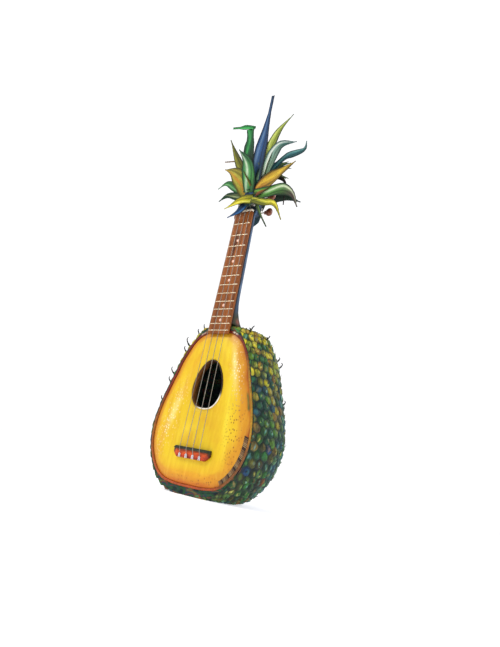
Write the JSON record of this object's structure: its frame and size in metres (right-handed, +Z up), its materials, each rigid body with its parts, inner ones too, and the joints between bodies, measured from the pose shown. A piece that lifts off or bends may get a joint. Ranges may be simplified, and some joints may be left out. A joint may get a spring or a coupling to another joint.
{
  "type": "ukulele",
  "caption": "Ukulele with a pineapple for a body, a yellow soundboard in its cut face, a fretted neck, geared tuners and a crown of leaves over the head.",
  "frame": {"origin": "middle of the flat base of the body", "axes": "+Z up along the neck, -Y out of the soundboard, +X to the player's right of the face"},
  "size_m": [0.2289, 0.1798, 0.7361],
  "materials": {
    "rind": "carved in diamond eyes and painted, satin varnish",
    "soundboard": "thin wood stained yellow, semi-gloss",
    "binding": "stained orange-red, semi-gloss",
    "hole_liner": "satin, unpainted",
    "inner_wood": "raw spruce",
    "neck": "dark blue stain, satin",
    "fretboard": "oiled, satin",
    "fret_wire": "pale, polished",
    "bone": "off-white, satin",
    "steel": "nickel plated, satin",
    "bridge": "stained red-orange, satin",
    "saddle": "near black, satin",
    "string": "clear nylon",
    "button": "cream pink, polished",
    "leaf": "thin moulded blades painted green, blue, yellow and olive",
    "crown_core": "dark olive stain"
  },
  "bodies": {
    "ukulele": {"rind_sides": "rind", "rind_back": "rind", "soundboard": "soundboard", "edge_binding": "binding", "soundhole_liner": "hole_liner", "top_lining": "inner_wood", "upper_brace": "inner_wood", "lower_brace": "inner_wood", "bridge_plate": "inner_wood", "back_brace": "inner_wood", "head_block": "inner_wood", "tail_block": "inner_wood", "neck": "neck", "fretboard": "fretboard", "fret_01": "fret_wire", "fret_02": "fret_wire", "fret_03": "fret_wire", "fret_04": "fret_wire", "fret_05": "fret_wire", "fret_06": "fret_wire", "fret_07": "fret_wire", "fret_08": "fret_wire", "fret_09": "fret_wire", "fret_10": "fret_wire", "fret_11": "fret_wire", "fret_12": "fret_wire", "fret_13": "fret_wire", "nut": "bone", "neck_bolt": "steel", "neck_bolt_washer": "steel", "crown_pin": "steel", "tuner_plate_left": "steel", "tuner_plate_right": "steel", "post_bushing_low_left": "steel", "post_bushing_high_left": "steel", "post_bushing_high_right": "steel", "post_bushing_low_right": "steel", "bridge": "bridge", "saddle": "saddle", "string_1": "string", "string_2": "string", "string_3": "string", "string_4": "string", "crown_front_leaves": "leaf", "crown_top_leaves": "leaf", "crown_back_leaves": "leaf", "crown_core": "crown_core"},
    "knob_low_left": {"worm_shaft_low_left": "steel", "tuner_button_low_left": "button"},
    "post_low_left": {"string_post_low_left": "steel"},
    "knob_high_left": {"worm_shaft_high_left": "steel", "tuner_button_high_left": "button"},
    "post_high_left": {"string_post_high_left": "steel"},
    "knob_high_right": {"worm_shaft_high_right": "steel", "tuner_button_high_right": "button"},
    "post_high_right": {"string_post_high_right": "steel"},
    "knob_low_right": {"worm_shaft_low_right": "steel", "tuner_button_low_right": "button"},
    "post_low_right": {"string_post_low_right": "steel"}
  },
  "joints": [
    {"name": "knob_turn_low_left", "type": "hinge", "parent": "ukulele", "child": "knob_low_left", "pos_m": [-0.0125, -0.0256, 0.4882], "axis": [1, 0, 0], "continuous": true},
    {"name": "post_turn_low_left", "type": "hinge", "parent": "ukulele", "child": "post_low_left", "pos_m": [-0.0125, -0.0256, 0.496], "axis": [0, 1, 0], "continuous": true},
    {"name": "knob_turn_high_left", "type": "hinge", "parent": "ukulele", "child": "knob_high_left", "pos_m": [-0.0125, -0.0256, 0.5202], "axis": [1, 0, 0], "continuous": true},
    {"name": "post_turn_high_left", "type": "hinge", "parent": "ukulele", "child": "post_high_left", "pos_m": [-0.0125, -0.0256, 0.528], "axis": [0, 1, 0], "continuous": true},
    {"name": "knob_turn_high_right", "type": "hinge", "parent": "ukulele", "child": "knob_high_right", "pos_m": [0.0125, -0.0256, 0.5202], "axis": [1, 0, 0], "continuous": true},
    {"name": "post_turn_high_right", "type": "hinge", "parent": "ukulele", "child": "post_high_right", "pos_m": [0.0125, -0.0256, 0.528], "axis": [0, 1, 0], "continuous": true},
    {"name": "knob_turn_low_right", "type": "hinge", "parent": "ukulele", "child": "knob_low_right", "pos_m": [0.0125, -0.0256, 0.4882], "axis": [1, 0, 0], "continuous": true},
    {"name": "post_turn_low_right", "type": "hinge", "parent": "ukulele", "child": "post_low_right", "pos_m": [0.0125, -0.0256, 0.496], "axis": [0, 1, 0], "continuous": true}
  ],
  "couplings": [
    {"joint": "post_turn_low_left", "follows": "knob_turn_low_left", "ratio": 0.071429},
    {"joint": "post_turn_high_left", "follows": "knob_turn_high_left", "ratio": 0.071429},
    {"joint": "post_turn_high_right", "follows": "knob_turn_high_right", "ratio": 0.071429},
    {"joint": "post_turn_low_right", "follows": "knob_turn_low_right", "ratio": 0.071429}
  ]
}
